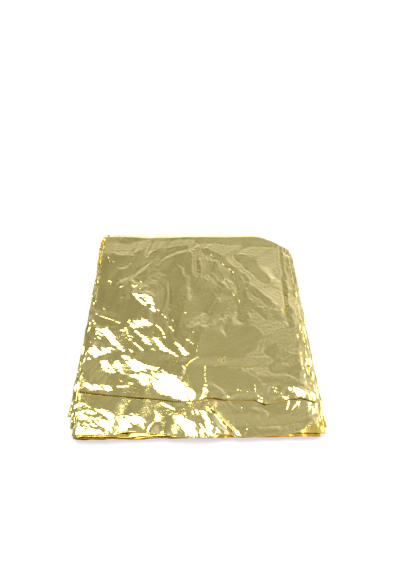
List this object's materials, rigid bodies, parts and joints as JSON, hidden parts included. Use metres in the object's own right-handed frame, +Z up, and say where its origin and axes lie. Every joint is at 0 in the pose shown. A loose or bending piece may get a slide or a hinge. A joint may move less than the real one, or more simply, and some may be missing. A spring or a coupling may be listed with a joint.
{
  "type": "gold leaf booklet",
  "caption": "Loose flat stack of thin square gold-coloured metal leaves, crinkled, slightly astray of each other, the top one turned under along its front edge.",
  "frame": {"origin": "middle of the bottom leaf's underside, where the stack rests on a table", "axes": "+Z up through the stack, X along the front edge of the leaves, +Y towards their far edge"},
  "size_m": [0.1502, 0.1539, 0.0065],
  "materials": {
    "gold_leaf": "bright, mirror-like crinkled leaf"
  },
  "bodies": {
    "leaf_01": {"leaf_01": "gold_leaf"},
    "leaf_02": {"leaf_02": "gold_leaf"},
    "leaf_03": {"leaf_03": "gold_leaf"},
    "leaf_04": {"leaf_04": "gold_leaf"},
    "leaf_05": {"leaf_05": "gold_leaf"},
    "leaf_06": {"leaf_06": "gold_leaf"},
    "leaf_07": {"leaf_07": "gold_leaf"},
    "leaf_08": {"leaf_08": "gold_leaf"},
    "leaf_09": {"leaf_09": "gold_leaf"},
    "leaf_10": {"leaf_10": "gold_leaf"},
    "leaf_11": {"leaf_11": "gold_leaf"},
    "leaf_12": {"leaf_12": "gold_leaf"},
    "leaf_13": {"leaf_13": "gold_leaf"},
    "leaf_14": {"leaf_14": "gold_leaf"},
    "leaf_15": {"leaf_15": "gold_leaf"},
    "leaf_16": {"leaf_16": "gold_leaf"},
    "leaf_17": {"leaf_17": "gold_leaf"},
    "leaf_18": {"leaf_18": "gold_leaf"},
    "leaf_19": {"leaf_19": "gold_leaf"},
    "leaf_20": {"leaf_20": "gold_leaf"},
    "leaf_21": {"leaf_21": "gold_leaf"},
    "leaf_22": {"leaf_22": "gold_leaf"},
    "leaf_23": {"leaf_23": "gold_leaf"},
    "leaf_24": {"leaf_24": "gold_leaf"},
    "leaf_25": {"leaf_25": "gold_leaf"}
  },
  "joints": [
    {"name": "leaf_02_lift", "type": "slide", "parent": "leaf_01", "child": "leaf_02", "axis": [0, 0, 1], "range_m": [0, 0.02]},
    {"name": "leaf_03_lift", "type": "slide", "parent": "leaf_02", "child": "leaf_03", "axis": [0, 0, 1], "range_m": [0, 0.02]},
    {"name": "leaf_04_lift", "type": "slide", "parent": "leaf_03", "child": "leaf_04", "axis": [0, 0, 1], "range_m": [0, 0.02]},
    {"name": "leaf_05_lift", "type": "slide", "parent": "leaf_04", "child": "leaf_05", "axis": [0, 0, 1], "range_m": [0, 0.02]},
    {"name": "leaf_06_lift", "type": "slide", "parent": "leaf_05", "child": "leaf_06", "axis": [0, 0, 1], "range_m": [0, 0.02]},
    {"name": "leaf_07_lift", "type": "slide", "parent": "leaf_06", "child": "leaf_07", "axis": [0, 0, 1], "range_m": [0, 0.02]},
    {"name": "leaf_08_lift", "type": "slide", "parent": "leaf_07", "child": "leaf_08", "axis": [0, 0, 1], "range_m": [0, 0.02]},
    {"name": "leaf_09_lift", "type": "slide", "parent": "leaf_08", "child": "leaf_09", "axis": [0, 0, 1], "range_m": [0, 0.02]},
    {"name": "leaf_10_lift", "type": "slide", "parent": "leaf_09", "child": "leaf_10", "axis": [0, 0, 1], "range_m": [0, 0.02]},
    {"name": "leaf_11_lift", "type": "slide", "parent": "leaf_10", "child": "leaf_11", "axis": [0, 0, 1], "range_m": [0, 0.02]},
    {"name": "leaf_12_lift", "type": "slide", "parent": "leaf_11", "child": "leaf_12", "axis": [0, 0, 1], "range_m": [0, 0.02]},
    {"name": "leaf_13_lift", "type": "slide", "parent": "leaf_12", "child": "leaf_13", "axis": [0, 0, 1], "range_m": [0, 0.02]},
    {"name": "leaf_14_lift", "type": "slide", "parent": "leaf_13", "child": "leaf_14", "axis": [0, 0, 1], "range_m": [0, 0.02]},
    {"name": "leaf_15_lift", "type": "slide", "parent": "leaf_14", "child": "leaf_15", "axis": [0, 0, 1], "range_m": [0, 0.02]},
    {"name": "leaf_16_lift", "type": "slide", "parent": "leaf_15", "child": "leaf_16", "axis": [0, 0, 1], "range_m": [0, 0.02]},
    {"name": "leaf_17_lift", "type": "slide", "parent": "leaf_16", "child": "leaf_17", "axis": [0, 0, 1], "range_m": [0, 0.02]},
    {"name": "leaf_18_lift", "type": "slide", "parent": "leaf_17", "child": "leaf_18", "axis": [0, 0, 1], "range_m": [0, 0.02]},
    {"name": "leaf_19_lift", "type": "slide", "parent": "leaf_18", "child": "leaf_19", "axis": [0, 0, 1], "range_m": [0, 0.02]},
    {"name": "leaf_20_lift", "type": "slide", "parent": "leaf_19", "child": "leaf_20", "axis": [0, 0, 1], "range_m": [0, 0.02]},
    {"name": "leaf_21_lift", "type": "slide", "parent": "leaf_20", "child": "leaf_21", "axis": [0, 0, 1], "range_m": [0, 0.02]},
    {"name": "leaf_22_lift", "type": "slide", "parent": "leaf_21", "child": "leaf_22", "axis": [0, 0, 1], "range_m": [0, 0.02]},
    {"name": "leaf_23_lift", "type": "slide", "parent": "leaf_22", "child": "leaf_23", "axis": [0, 0, 1], "range_m": [0, 0.02]},
    {"name": "leaf_24_lift", "type": "slide", "parent": "leaf_23", "child": "leaf_24", "axis": [0, 0, 1], "range_m": [0, 0.02]},
    {"name": "leaf_25_lift", "type": "slide", "parent": "leaf_24", "child": "leaf_25", "axis": [0, 0, 1], "range_m": [0, 0.02]}
  ]
}
